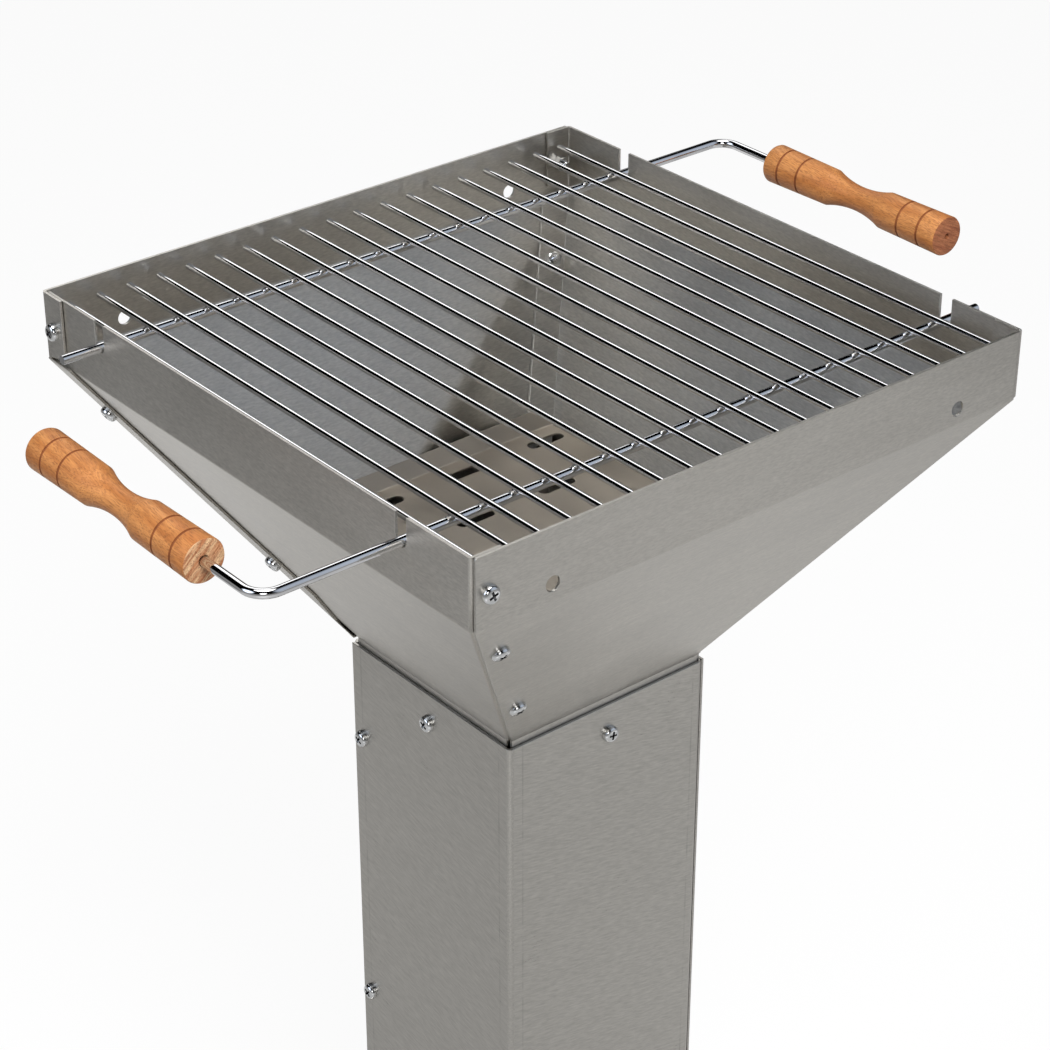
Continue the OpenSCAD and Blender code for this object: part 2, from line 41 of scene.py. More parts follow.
# Sizes that several pieces share, in millimetres, as the solids have them
grill = {
    "rimTop": 700, "rimHalf": 175, "rimFold": 662, "slope": 56, "neckHalf": 66.1,
    "columnHalf": 68, "sheet": 1.5, "lapStep": 1.7,
}


def inMetres(points):
    return [Vector(p) * mm for p in points]


def newPiece(name, mesh):
    piece = bpy.data.objects.new(name, mesh)
    bpy.context.scene.collection.objects.link(piece)
    return piece


def meshFrom(name, points, faces, edges=()):
    mesh = bpy.data.meshes.new(name)
    mesh.from_pydata(inMetres(points), list(edges), faces)
    mesh.update()
    return mesh


def bake(piece):
    bpy.context.view_layer.update()
    graph = bpy.context.evaluated_depsgraph_get()
    mesh = bpy.data.meshes.new_from_object(
        piece.evaluated_get(graph), preserve_all_data_layers=True, depsgraph=graph)
    piece.modifiers.clear()
    mesh.name = piece.name
    piece.data = mesh
    return piece


def dropTemplate(piece):
    mesh = piece.data
    bpy.data.objects.remove(piece)
    bpy.data.meshes.remove(mesh)


def smoothShade(mesh, angle):
    for face in mesh.polygons:
        face.use_smooth = True
    mesh.set_sharp_from_angle(angle=math.radians(angle))


def put(piece, body, slot, *nodes):
    if nodes:
        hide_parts(*nodes)
    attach(piece, body)


nodeGrid = {"across": 180, "down": 260, "columns": 12}   # where new nodes lie in the editor


def addNode(tree, kind, inputs=None, **settings):
    node = tree.nodes.new(kind)
    row, column = divmod(len(tree.nodes), nodeGrid["columns"])
    node.location = (nodeGrid["across"] * column, -nodeGrid["down"] * row)
    for name, value in settings.items():
        setattr(node, name, value)
    for socket, value in (inputs or {}).items():
        if isinstance(value, bpy.types.NodeSocket):
            tree.links.new(value, node.inputs[socket])
        else:
            node.inputs[socket].default_value = value
    return node


def newMaterial(name, color, roughness, metallic=0.0):
    material = bpy.data.materials.new(name)
    material.use_nodes = True
    material.diffuse_color = (*color, 1)
    shader = material.node_tree.nodes["Principled BSDF"]
    shader.inputs["Base Color"].default_value = (*color, 1)
    shader.inputs["Roughness"].default_value = roughness
    shader.inputs["Metallic"].default_value = metallic
    return material, material.node_tree, shader


noiseSpan = (0.3, 0.7)   # nearly all of a noise's values lie between these


def stretchedNoise(tree, source, size, seed, turn=0.0, detail=3.0, roughness=0.55):
    # noise whose grains are about size long, size in metres along x, y and z
    place = addNode(tree, "ShaderNodeMapping",
                    {"Vector": source, "Rotation": (0, 0, math.radians(turn))})
    scale = addNode(tree, "ShaderNodeVectorMath",
                    {0: place.outputs[0], 1: tuple(1 / s for s in size)}, operation="MULTIPLY")
    noise = addNode(tree, "ShaderNodeTexNoise",
                    {"Vector": scale.outputs[0], "W": seed, "Scale": 1.0, "Detail": detail,
                     "Roughness": roughness}, noise_dimensions="4D")
    return noise.outputs["Fac"]


def remap(tree, value, low, high, toLow, toHigh, smooth=False):
    kind = "SMOOTHSTEP" if smooth else "LINEAR"
    limits = {"Value": value, "From Min": low, "From Max": high, "To Min": toLow, "To Max": toHigh}
    return addNode(tree, "ShaderNodeMapRange", limits, interpolation_type=kind).outputs[0]


def mathOf(tree, operation, a, b=0.0):
    return addNode(tree, "ShaderNodeMath", {0: a, 1: b}, operation=operation).outputs[0]


def timesNoise(tree, value, noise, change):
    # the noise makes value up to a share of change larger or smaller
    factor = remap(tree, noise, *noiseSpan, 1 - change, 1 + change)
    return mathOf(tree, "MULTIPLY", value, factor)


def plusNoise(tree, value, noise, change):
    # the noise adds up to change to value, or takes it away
    return mathOf(tree, "ADD", remap(tree, noise, *noiseSpan, -change, change), value)


def scaled(tree, vector, share):
    node = addNode(tree, "ShaderNodeVectorMath", {0: vector, 3: share}, operation="SCALE")
    return node.outputs[0]


def mixColors(tree, share, a, b):
    node = addNode(tree, "ShaderNodeMix", data_type="RGBA")
    for socket, value in ((0, share), (6, a), (7, b)):
        if isinstance(value, bpy.types.NodeSocket):
            tree.links.new(value, node.inputs[socket])
        else:
            node.inputs[socket].default_value = (*value, 1) if socket > 5 else value
    return node.outputs[2]


def setBump(tree, shader, height, depth, strength=1.0):
    bump = addNode(tree, "ShaderNodeBump",
                   {"Height": height, "Distance": depth, "Strength": strength})
    tree.links.new(bump.outputs[0], shader.inputs["Normal"])


def pressMark(tree, flat, look):
    # the faint broken mark of the brake press beside each upright fold, as a share of shade
    across = addNode(tree, "ShaderNodeSeparateXYZ", {0: flat}).outputs[0]
    away = mathOf(tree, "SUBTRACT", mathOf(tree, "ABSOLUTE", across), look["pressLine"])
    mark = remap(tree, mathOf(tree, "ABSOLUTE", away), 0.0, look["pressWidth"], 1.0, 0.0, True)
    broken = stretchedNoise(tree, flat, look["pressBreaks"], seed=9.4, roughness=0.7)
    return mathOf(tree, "MULTIPLY", mark, remap(tree, broken, 0.4, 0.6, 0.0, look["pressShade"]))


def brushedSteel(name, look):
    material, tree, shader = newMaterial(name, look["color"], look["roughness"], 1.0)
    shader.inputs["Anisotropic"].default_value = look["anisotropy"]
    # a quarter turn, so that highlights run across the brushing
    shader.inputs["Anisotropic Rotation"].default_value = 0.25
    tangent = addNode(tree, "ShaderNodeTangent", direction_type="UV_MAP", uv_map="sheet")
    tree.links.new(tangent.outputs[0], shader.inputs["Tangent"])
    flat = addNode(tree, "ShaderNodeUVMap", uv_map="sheet").outputs[0]
    solid = addNode(tree, "ShaderNodeTexCoord").outputs["Object"]

    strokes = stretchedNoise(tree, flat, look["strokeSize"], seed=1.3, turn=look["tilt"],
                             roughness=0.6)
    streaks = stretchedNoise(tree, flat, look["streakSize"], seed=4.1, turn=look["tilt"] / 3,
                             detail=2, roughness=0.5)
    clouds = stretchedNoise(tree, solid, (look["cloudSize"],) * 3, seed=7.7)
    waves = stretchedNoise(tree, solid, (look["waveSize"],) * 3, seed=2.2, detail=1, roughness=0.4)

    # each of the three lightens or darkens the steel a little about its own colour
    shade = timesNoise(tree, 1.0, strokes, look["strokeShade"])
    shade = timesNoise(tree, shade, streaks, look["streakShade"])
    shade = timesNoise(tree, shade, clouds, look["cloudShade"])
    if look.get("pressLine"):
        mark = pressMark(tree, flat, look)
        shade = mathOf(tree, "MULTIPLY", shade, mathOf(tree, "SUBTRACT", 1.0, mark))
    tree.links.new(scaled(tree, look["color"], shade), shader.inputs["Base Color"])

    rough = plusNoise(tree, look["roughness"], strokes, look["strokeRough"])
    rough = plusNoise(tree, rough, clouds, look["cloudRough"])
    tree.links.new(rough, shader.inputs["Roughness"])
    waves = mathOf(tree, "MULTIPLY", waves, look["waveDepth"] / look["strokeDepth"])
    setBump(tree, shader, mathOf(tree, "ADD", strokes, waves), look["strokeDepth"])
    return material


def cutEdge(name, look):
    material, tree, shader = newMaterial(name, look["color"], look["roughness"], 1.0)
    solid = addNode(tree, "ShaderNodeTexCoord").outputs["Object"]
    grain = stretchedNoise(tree, solid, (look["grain"],) * 3, seed=5.5, detail=2, roughness=0.5)
    shade = remap(tree, grain, *noiseSpan, *look["shades"])
    tree.links.new(scaled(tree, look["color"], shade), shader.inputs["Base Color"])
    rough = plusNoise(tree, look["roughness"], grain, look["roughChange"])
    tree.links.new(rough, shader.inputs["Roughness"])
    setBump(tree, shader, grain, look["depth"])
    return material


columnLook = {
    "color": (0.50, 0.483, 0.45), "roughness": 0.34, "anisotropy": 0.45, "tilt": 14,
    "strokeSize": (0.0065, 0.0009, 1), "strokeShade": 0.15, "strokeRough": 0.05,
    "strokeDepth": 0.000008, "streakSize": (0.09, 0.004, 1), "streakShade": 0.012,
    "cloudSize": 0.035, "cloudShade": 0.02, "cloudRough": 0.03,
    "waveSize": 0.09, "waveDepth": 0.00025,
    "pressLine": 0.0592, "pressWidth": 0.0008, "pressBreaks": (0.02, 0.012, 1), "pressShade": 0.2,
}
hopperLook = dict(
    columnLook, color=(0.575, 0.553, 0.512), roughness=0.40, tilt=3, pressLine=0.0,
    strokeSize=(0.0035, 0.0009, 1), strokeShade=0.14, streakShade=0.03,
    cloudSize=0.05, cloudShade=0.06)
# the coal plate's steel is darker and warmer than the hopper's: painted shade and a painted warm
# reflection, for its place deep in the hopper
coalLook = dict(
    columnLook, color=(0.45, 0.405, 0.345), roughness=0.46, anisotropy=0.2, pressLine=0.0,
    strokeShade=0.03, cloudSize=0.03, cloudShade=0.07, cloudRough=0.06)
baseLook = dict(
    columnLook, color=(0.52, 0.50, 0.47), roughness=0.42, tilt=0, pressLine=0.0, cloudSize=0.06)
# the cut edges are much paler than the steel: partly the bare sheared metal, partly a painted
# highlight that makes them read as bright lines
edgeLook = {
    "color": (0.86, 0.85, 0.83), "roughness": 0.27, "roughChange": 0.06,
    "grain": 0.0006, "shades": (0.85, 1.1), "depth": 0.00003,
}

columnSteel = brushedSteel("columnSteel", columnLook)
hopperSteel = brushedSteel("hopperSteel", hopperLook)
coalSteel = brushedSteel("coalSteel", coalLook)
baseSteel = brushedSteel("baseSteel", baseLook)
edgeSteel = cutEdge("edgeSteel", edgeLook)
print("steel finishes made")


# In metres and degrees. A face between least and most wide is a cut edge of the sheet. A fold
# sharper than corner is rounded, unless an edge shorter than room times the bevel meets it.
sheetEdge = {
    "bevel": 0.00022, "segments": 2, "least": 0.00125, "most": 0.0023, "corner": 40, "room": 2.2,
    "weld": 2e-6, "flat": 0.6, "smooth": 32,
}
plateEdge = dict(sheetEdge, bevel=0.0007, least=0.005, most=0.007)
levelTilt = 0.35   # a face counts as level when the sine of its tilt is less


def sheetFrame(normal):
    # along the wall and up it, for any face of a folded sheet
    along = Vector((0, 0, 1)).cross(normal)
    if along.length < levelTilt:
        return Vector((1, 0, 0)), Vector((0, 1, 0))
    along.normalize()
    return along, normal.cross(along)


def leastWidth(face):
    # the narrowest a face is, measured across each of its edges
    widths = []
    for edge in face.edges:
        run = edge.verts[1].co - edge.verts[0].co
        if run.length < 1e-5:
            continue
        across = face.normal.cross(run.normalized())
        reach = [v.co.dot(across) for v in face.verts]
        widths.append(max(reach) - min(reach))
    return min(widths) if widths else 0.0


def markSheet(bm, edge):
    # the cut edges' material, which corners are rounded, and a flat map of every face
    for face in bm.faces:
        face.material_index = 1 if edge["least"] < leastWidth(face) < edge["most"] else 0
    weights = bm.edges.layers.float.new("bevel_weight_edge")
    sharpness, room = math.radians(edge["corner"]), edge["room"] * edge["bevel"]
    for side in bm.edges:
        corner = len(side.link_faces) == 2 and side.calc_face_angle() > sharpness
        shortest = min(e.calc_length() for v in side.verts for e in v.link_edges)
        side[weights] = 1.0 if corner and shortest > room else 0.0
    uvs = bm.loops.layers.uv.new("sheet")
    for face in bm.faces:
        along, up = sheetFrame(face.normal)
        for loop in face.loops:
            loop[uvs].uv = (loop.vert.co.dot(along), loop.vert.co.dot(up))


def foldedSheet(name, node, body, slot, material, edge=sheetEdge):
    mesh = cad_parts[node].data.copy()
    bm = bmesh.new()
    bm.from_mesh(mesh)
    bmesh.ops.remove_doubles(bm, verts=bm.verts, dist=edge["weld"])
    bmesh.ops.dissolve_limit(
        bm, angle_limit=math.radians(edge["flat"]), verts=bm.verts, edges=bm.edges)
    bm.normal_update()
    markSheet(bm, edge)
    bm.to_mesh(mesh)
    bm.free()
    mesh.materials.clear()
    mesh.materials.append(material)
    mesh.materials.append(edgeSteel)
    smoothShade(mesh, edge["smooth"])
    piece = newPiece(name, mesh)
    bevel = piece.modifiers.new("rounded edges", "BEVEL")
    bevel.width = edge["bevel"]
    bevel.segments = edge["segments"]
    bevel.limit_method = "WEIGHT"
    bevel.use_clamp_overlap = False
    weigh = piece.modifiers.new("flat faces stay flat", "WEIGHTED_NORMAL")
    weigh.keep_sharp = True
    bake(piece)
    put(piece, body, slot, node)


for wall in ("front", "right", "back", "left"):
    foldedSheet("hopperPanel_" + wall, "hopper_" + wall, "grill", "sheet", hopperSteel)
for half in ("front", "back"):
    foldedSheet("columnShell_" + half, "column_" + half + "_shell", "grill", "sheet", columnSteel)
foldedSheet("basePlate", "base_plate", "grill", "base", baseSteel, plateEdge)
foldedSheet("coalPlate", "coal_plate", "coal_plate", "coal_sheet", coalSteel)
foldedSheet("ashDrawer", "ash_drawer", "drawer", "sheet", columnSteel)
print("sheet pieces made")


# In millimetres. The pan head is nearly flat on top, then round to an upright side, as (radius,
# drop from the top). The recess narrows to a point, as (depth below the top, share of its width).
screwSizes = {
    "radius": 2.5, "headRadius": 4.75, "headHeight": 3.4, "headEdge": 0.15,
    "pan": ((0, 0), (1.8, 0.02), (2.8, 0.1), (3.4, 0.24), (3.85, 0.48), (4.25, 0.85),
            (4.52, 1.3), (4.68, 1.85), (4.75, 2.5)),
    "length": 11, "footLength": 7, "plain": 1, "threadStart": 1.2, "threadEnds": 1.8,
    "pitch": 0.8, "thread": 0.32, "tipTaper": (0.6, 0.25), "segments": 40, "smooth": 33,
    "recessWidth": 5.2, "recessArm": 1.3, "recessDepth": 2.1,
    "recessTaper": ((-0.6, 1.0), (0.3, 0.97), (1.575, 0.55)), "recessRim": (0.1, 0.3), "seed": 11,
}
nutSizes = {
    "width": 8, "height": 4, "bore": 2.6, "segments": 48, "facing": 0.94, "faceAngle": 30,
    "leastDrop": 0.02, "smooth": 30,
}


def lathed(name, profile, segments):
    # a closed body turned about +Z from (radius, height) points, both ends on the axis
    points, faces = [], []
    rings = []
    for r, z in profile:
        if r < 1e-6:
            rings.append([len(points)] * segments)
            points.append((0, 0, z))
        else:
            rings.append(list(range(len(points), len(points) + segments)))
            for i in range(segments):
                a = 2 * math.pi * i / segments
                points.append((r * math.cos(a), r * math.sin(a), z))
    for a, b in zip(rings, rings[1:]):
        for i in range(segments):
            j = (i + 1) % segments
            corners = [a[i], a[j], b[j], b[i]]
            corners = [c for k, c in enumerate(corners) if c != corners[k - 1]]
            if len(corners) > 2:
                faces.append(corners)
    return meshFrom(name, points, faces)


def turnOut(mesh):
    bm = bmesh.new()
    bm.from_mesh(mesh)
    bmesh.ops.remove_doubles(bm, verts=bm.verts, dist=1e-7)
    bmesh.ops.recalc_face_normals(bm, faces=bm.faces)
    bm.to_mesh(mesh)
    bm.free()


def crossRing(wide, arm, z):
    # the twelve corners of a cross, whose arms reach out to wide
    ring = []
    for quarter in range(4):
        turn = Matrix.Rotation(math.pi / 2 * quarter, 3, "Z")
        ring += [turn @ Vector(p) for p in ((arm, -arm, z), (wide, -arm, z), (wide, arm, z))]
    return ring


def crossCutter(sizes):
    # four tapered arms that meet at a point, as a cross-recess punch has
    wide, arm, top = sizes["recessWidth"] / 2, sizes["recessArm"] / 2, sizes["headHeight"]
    points = []
    for depth, share in sizes["recessTaper"]:
        points += crossRing(wide * share, arm, top - depth)
    points.append((0, 0, top - sizes["recessDepth"]))
    sides = 12
    faces = [tuple(range(sides))]
    for i in range(sides):
        j = (i + 1) % sides
        for start in (0, sides):
            faces.append((start + i, start + j, start + sides + j, start + sides + i))
        faces.append((2 * sides + i, 2 * sides + j, 3 * sides))
    mesh = meshFrom("crossCutter", points, faces)
    turnOut(mesh)
    return newPiece("crossCutter", mesh)


def screwProfile(sizes, length):
    r, deep = sizes["radius"], sizes["radius"] - sizes["thread"]
    profile = [(reach, sizes["headHeight"] - drop) for reach, drop in sizes["pan"]]
    head, edge = sizes["headRadius"], sizes["headEdge"]
    profile += [(head, edge), (head - edge, 0)]
    profile += [(r, 0), (r, -sizes["plain"])]
    for i in range(int((length - sizes["threadEnds"]) / sizes["pitch"])):
        z = -sizes["threadStart"] - i * sizes["pitch"]
        profile += [(deep, z), (r, z - sizes["pitch"] / 2)]
    inward, back = sizes["tipTaper"]
    return profile + [(deep, back - length), (r - inward, -length), (0, -length)]


def screwTemplate(sizes, length):
    mesh = lathed("screwTemplate", screwProfile(sizes, length), sizes["segments"])
    turnOut(mesh)
    piece = newPiece("screwTemplate", mesh)
    cutter = crossCutter(sizes)
    cut = piece.modifiers.new("cross recess", "BOOLEAN")
    cut.operation = "DIFFERENCE"
    cut.solver = "EXACT"
    cut.object = cutter
    bake(piece)
    dropTemplate(cutter)
    smoothShade(piece.data, sizes["smooth"])
    # the recess is marked for painted shade: its faces are drawn nearly black, standing in for the
    # shade inside it
    beside, below = sizes["recessRim"]
    recessShadeMask = piece.data.attributes.new("recess", "FLOAT", "POINT")
    for i, vertex in enumerate(piece.data.vertices):
        x, y, z = vertex.co / mm
        near = math.hypot(x, y) < sizes["recessWidth"] / 2 + beside
        recessShadeMask.data[i].value = float(near and 0 < z < sizes["headHeight"] - below)
    return piece


def nutTemplate(sizes):
    # a hexagon whose corners are faced off on both ends
    points, faces = [], []
    n, flat, bottom = sizes["segments"], sizes["width"] / 2, -sizes["height"]
    faced = flat * sizes["facing"]
    for i in range(n):
        a = 2 * math.pi * i / n
        hexagon = flat / math.cos((a % (math.pi / 3)) - math.pi / 6)
        drop = (hexagon - faced) * math.tan(math.radians(sizes["faceAngle"]))
        drop = max(sizes["leastDrop"], drop)
        section = ((sizes["bore"], 0), (faced, 0), (hexagon, -drop),
                   (hexagon, bottom + drop), (faced, bottom), (sizes["bore"], bottom))
        points += [(r * math.cos(a), r * math.sin(a), z) for r, z in section]
    rings = len(section)
    for i in range(n):
        j = (i + 1) % n
        for k in range(rings):
            m = (k + 1) % rings
            faces.append((i * rings + k, j * rings + k, j * rings + m, i * rings + m))
    mesh = meshFrom("nutTemplate", points, faces)
    turnOut(mesh)
    smoothShade(mesh, sizes["smooth"])
    return newPiece("nutTemplate", mesh)


def geometryTree(name, inputs):
    # a tree with one named input for each label, all set by runTree
    tree = bpy.data.node_groups.new(name, "GeometryNodeTree")
    tree.interface.new_socket("Geometry", in_out="OUTPUT", socket_type="NodeSocketGeometry")
    tree.interface.new_socket("Geometry", in_out="INPUT", socket_type="NodeSocketGeometry")
    for label, kind in inputs.items():
        tree.interface.new_socket(label, in_out="INPUT", socket_type="NodeSocket" + kind)
    return tree, addNode(tree, "NodeGroupInput").outputs, addNode(tree, "NodeGroupOutput")


def endTree(tree, geometry, given, result):
    real = addNode(tree, "GeometryNodeRealizeInstances", {0: geometry})
    finish = addNode(tree, "GeometryNodeSetMaterial",
                     {"Geometry": real.outputs[0], "Material": given["Finish"]})
    tree.links.new(finish.outputs[0], result.inputs[0])
    return tree


def runTree(piece, tree, values):
    modifier = piece.modifiers.new(tree.name, "NODES")
    modifier.node_group = tree
    for item in tree.interface.items_tree:
        if item.in_out == "INPUT" and item.name in values:
            modifier[item.identifier] = values[item.name]
    return bake(piece)


def seatTree():
    # an object on every point, its own Z turned to the point's axis and then about it by chance
    tree, given, result = geometryTree(
        "seatsToFasteners", {"Fastener": "Object", "Seed": "Int", "Finish": "Material"})
    info = addNode(tree, "GeometryNodeObjectInfo", {"Object": given["Fastener"]})
    axis = addNode(tree, "GeometryNodeInputNamedAttribute", {"Name": "axis"},
                   data_type="FLOAT_VECTOR")
    align = addNode(tree, "FunctionNodeAlignRotationToVector", {"Vector": axis.outputs[0]},
                    axis="Z")
    chance = addNode(tree, "FunctionNodeRandomValue", {2: 0.0, 3: math.pi, "Seed": given["Seed"]},
                     data_type="FLOAT")
    about = addNode(tree, "FunctionNodeAxisAngleToRotation",
                    {"Axis": (0, 0, 1), "Angle": chance.outputs[1]})
    turn = addNode(tree, "FunctionNodeRotateRotation", {0: align.outputs[0], 1: about.outputs[0]},
                   rotation_space="LOCAL")
    place = addNode(tree, "GeometryNodeInstanceOnPoints",
                    {"Points": given["Geometry"], "Instance": info.outputs["Geometry"],
                     "Rotation": turn.outputs[0]})
    return endTree(tree, place.outputs[0], given, result)


def seatPoints(name, seats):
    mesh = meshFrom(name, [p for p, axis in seats], [])
    values = mesh.attributes.new("axis", "FLOAT_VECTOR", "POINT")
    for i, (p, axis) in enumerate(seats):
        values.data[i].vector = axis
    return newPiece(name, mesh)


def quarterTurned(place, axis, quarter):
    turn = Matrix.Rotation(math.pi / 2 * quarter, 3, "Z")
    return turn @ Vector(place), turn @ Vector(axis)


def slopeHalf(z):
    return grill["rimHalf"] - (grill["rimFold"] - z) / math.tan(math.radians(grill["slope"]))


# Where the fasteners sit, in millimetres, as the solids have them
seatPlaces = {
    "cornerInset": 9, "rimDrop": 20, "slopeHeights": (630, 548.05),
    "outsideHeights": (636, 550.05), "neckHeight": 478.55,
    "seamReach": 59.5, "seamHeights": (82, 259.8, 437.65),
    "footSpacing": 60, "footReach": 80.25, "footTop": 7.5,
}


def allSeats(places, nuts):
    # where heads sit, or the faces of the nuts, with the axis out of the sheet
    seats = []
    sheet, lap = grill["sheet"], grill["lapStep"]
    slope = math.radians(grill["slope"])
    front, outward = Vector((0, -1, 0)), Vector((0, -math.sin(slope), -math.cos(slope)))
    rimAcross = places["cornerInset"] - grill["rimHalf"]
    rimHeight = grill["rimTop"] - places["rimDrop"]
    slopeAcross = places["cornerInset"] / math.cos(math.atan(math.cos(slope)))
    neck = grill["neckHalf"] - sheet if nuts else grill["columnHalf"]
    seam = grill["columnHalf"] - (sheet + lap if nuts else 0)
    for quarter in range(4):
        outside = quarter == 3   # the last corner's flange lies outside
        depth = (sheet if nuts else -lap) if outside else (sheet + lap if nuts else 0)
        place = (rimAcross, depth - grill["rimHalf"], rimHeight)
        seats.append(quarterTurned(place, front, quarter))
        for z in places["outsideHeights"] if outside else places["slopeHeights"]:
            place = Vector((slopeAcross - slopeHalf(z), -slopeHalf(z), z)) - outward * depth
            seats.append(quarterTurned(place, outward, quarter))
        seats.append(quarterTurned((0, -neck, places["neckHeight"]), front, quarter))
    for side in (0, 2):
        for z in places["seamHeights"]:
            seats.append(quarterTurned((-seam, places["seamReach"], z), (-1, 0, 0), side))
    return seats


def footSeats(places):
    half = places["footSpacing"] / 2
    return [quarterTurned((across, -places["footReach"], places["footTop"]), (0, 0, 1), quarter)
            for quarter in (1, 2, 3) for across in (-half, half)]


stainSpan = (0.35, 0.7)   # noise values at which a stain begins and is full


def platedSteel(name, look):
    material, tree, shader = newMaterial(name, look["color"], look["roughness"], 1.0)
    solid = addNode(tree, "ShaderNodeTexCoord").outputs["Object"]
    stain = stretchedNoise(tree, solid, (look["stainSize"],) * 3, seed=3.3, roughness=0.6)
    fine = stretchedNoise(tree, solid, (look["fineSize"],) * 3, seed=8.8, detail=2, roughness=0.5)
    share = remap(tree, stain, *stainSpan, 0.0, 1.0)
    tone = mixColors(tree, share, look["color"], look["stainColor"])
    # painted shade: faces marked in the cross recess are drawn in the near black below
    if "recessShadeColor" in look:
        recessShadeMask = addNode(tree, "ShaderNodeAttribute", attribute_name="recess").outputs["Fac"]
        tone = mixColors(tree, recessShadeMask, tone, look["recessShadeColor"])
    tree.links.new(tone, shader.inputs["Base Color"])
    rough = remap(tree, stain, *stainSpan, look["roughness"], look["stainRoughness"])
    rough = plusNoise(tree, rough, fine, look["fineRough"])
    tree.links.new(rough, shader.inputs["Roughness"])
    setBump(tree, shader, fine, look["fineDepth"])
    return material


zincLook = {
    "color": (0.78, 0.79, 0.80), "stainColor": (0.66, 0.665, 0.66),
    # the near black here is painted shade inside the cross recess
    "recessShadeColor": (0.10, 0.10, 0.10), "roughness": 0.07, "stainRoughness": 0.16,
    "stainSize": 0.003, "fineSize": 0.0004, "fineRough": 0.03, "fineDepth": 0.000012,
}
zinc = platedSteel("zinc", zincLook)

screwPiece = screwTemplate(screwSizes, screwSizes["length"])
footPiece = screwTemplate(screwSizes, screwSizes["footLength"])
nutPiece = nutTemplate(nutSizes)
fastenerTree = seatTree()

screws = seatPoints("screws", allSeats(seatPlaces, False))
runTree(screws, fastenerTree, {"Fastener": screwPiece, "Seed": screwSizes["seed"], "Finish": zinc})
put(screws, "grill", "zinc", "column_seam_screws", "neck_screws", "rim_screws", "slope_screws")
footScrews = seatPoints("footScrews", footSeats(seatPlaces))
runTree(footScrews, fastenerTree,
        {"Fastener": footPiece, "Seed": screwSizes["seed"] + 1, "Finish": zinc})
put(footScrews, "grill", "zinc", "foot_screws")
nuts = seatPoints("nuts", allSeats(seatPlaces, True))
runTree(nuts, fastenerTree, {"Fastener": nutPiece, "Seed": screwSizes["seed"] + 2, "Finish": zinc})
put(nuts, "grill", "zinc", "column_seam_nuts", "neck_nuts", "rim_nuts", "slope_nuts")
for template in (screwPiece, footPiece, nutPiece):
    dropTemplate(template)
print("screws and nuts made")


# In millimetres. wireEnds is where each wire stops in its handle, along Y on the left one's side.
grate = {
    "bars": 19, "barRadius": 1.75, "barLength": 340, "barSpread": 329, "barHeight": 690.5,
    "barChamfer": 0.35, "barSegments": 28, "barSmooth": 40,
    "wireRadius": 2.5, "wireHeight": 686.5, "wireHalf": 124, "wireTip": 197, "wireSegments": 28,
    "bend": 11, "bendSteps": 14, "wireEnds": (-23, -19.5), "wireSmooth": 50, "handleX": 251.5,
    "weldHeight": 688.5, "weldSize": (2.9, 1.9, 0.95), "weldSpread": 0.22, "weldDetail": 3,
    "weldBumps": 1.3, "weldSeed": 5,
}

chromeLook = {
    "color": (0.80, 0.80, 0.81), "stainColor": (0.68, 0.68, 0.69),
    "roughness": 0.06, "stainRoughness": 0.10, "stainSize": 0.012,
    "fineSize": 0.0007, "fineRough": 0.01, "fineDepth": 0.000006,
}
weldLook = {
    "color": (0.60, 0.59, 0.57), "stainColor": (0.34, 0.31, 0.27),
    "roughness": 0.22, "stainRoughness": 0.4, "stainSize": 0.0012,
    "fineSize": 0.0004, "fineRough": 0.05, "fineDepth": 0.00004,
}
chrome = platedSteel("chrome", chromeLook)
weldMetal = platedSteel("weldMetal", weldLook)


def barTemplate(sizes):
    r, half, chamfer = sizes["barRadius"], sizes["barLength"] / 2, sizes["barChamfer"]
    profile = [(0, half), (r - chamfer, half), (r, half - chamfer),
               (r, chamfer - half), (r - chamfer, -half), (0, -half)]
    mesh = lathed("barTemplate", profile, sizes["barSegments"])
    mesh.transform(Matrix.Rotation(math.pi / 2, 4, "X"))
    turnOut(mesh)
    smoothShade(mesh, sizes["barSmooth"])
    return newPiece("barTemplate", mesh)


def barTree():
    # a row of bars from the first one's place, a step apart
    tree, given, result = geometryTree(
        "rowOfBars", {"Bar": "Object", "Count": "Int", "Start": "Vector", "Step": "Vector",
                      "Finish": "Material"})
    row = addNode(tree, "GeometryNodeMeshLine",
                  {"Count": given["Count"], "Start Location": given["Start"],
                   "Offset": given["Step"]}, mode="OFFSET")
    info = addNode(tree, "GeometryNodeObjectInfo", {"Object": given["Bar"]})
    place = addNode(tree, "GeometryNodeInstanceOnPoints",
                    {"Points": row.outputs[0], "Instance": info.outputs["Geometry"]})
    return endTree(tree, place.outputs[0], given, result)


def wireTree():
    # a bent wire along each line of edges
    tree, given, result = geometryTree(
        "bentWires", {"Radius": "Float", "Segments": "Int", "Bend": "Float", "Bend steps": "Int",
                      "Finish": "Material"})
    path = addNode(tree, "GeometryNodeMeshToCurve", {0: given["Geometry"]})
    fillet = addNode(tree, "GeometryNodeFilletCurve",
                     {"Curve": path.outputs[0], "Radius": given["Bend"],
                      "Count": given["Bend steps"]}, mode="POLY")
    ring = addNode(tree, "GeometryNodeCurvePrimitiveCircle",
                   {"Resolution": given["Segments"], "Radius": given["Radius"]})
    tube = addNode(tree, "GeometryNodeCurveToMesh",
                   {"Curve": fillet.outputs[0], "Profile Curve": ring.outputs[0],
                    "Fill Caps": True})
    return endTree(tree, tube.outputs[0], given, result)


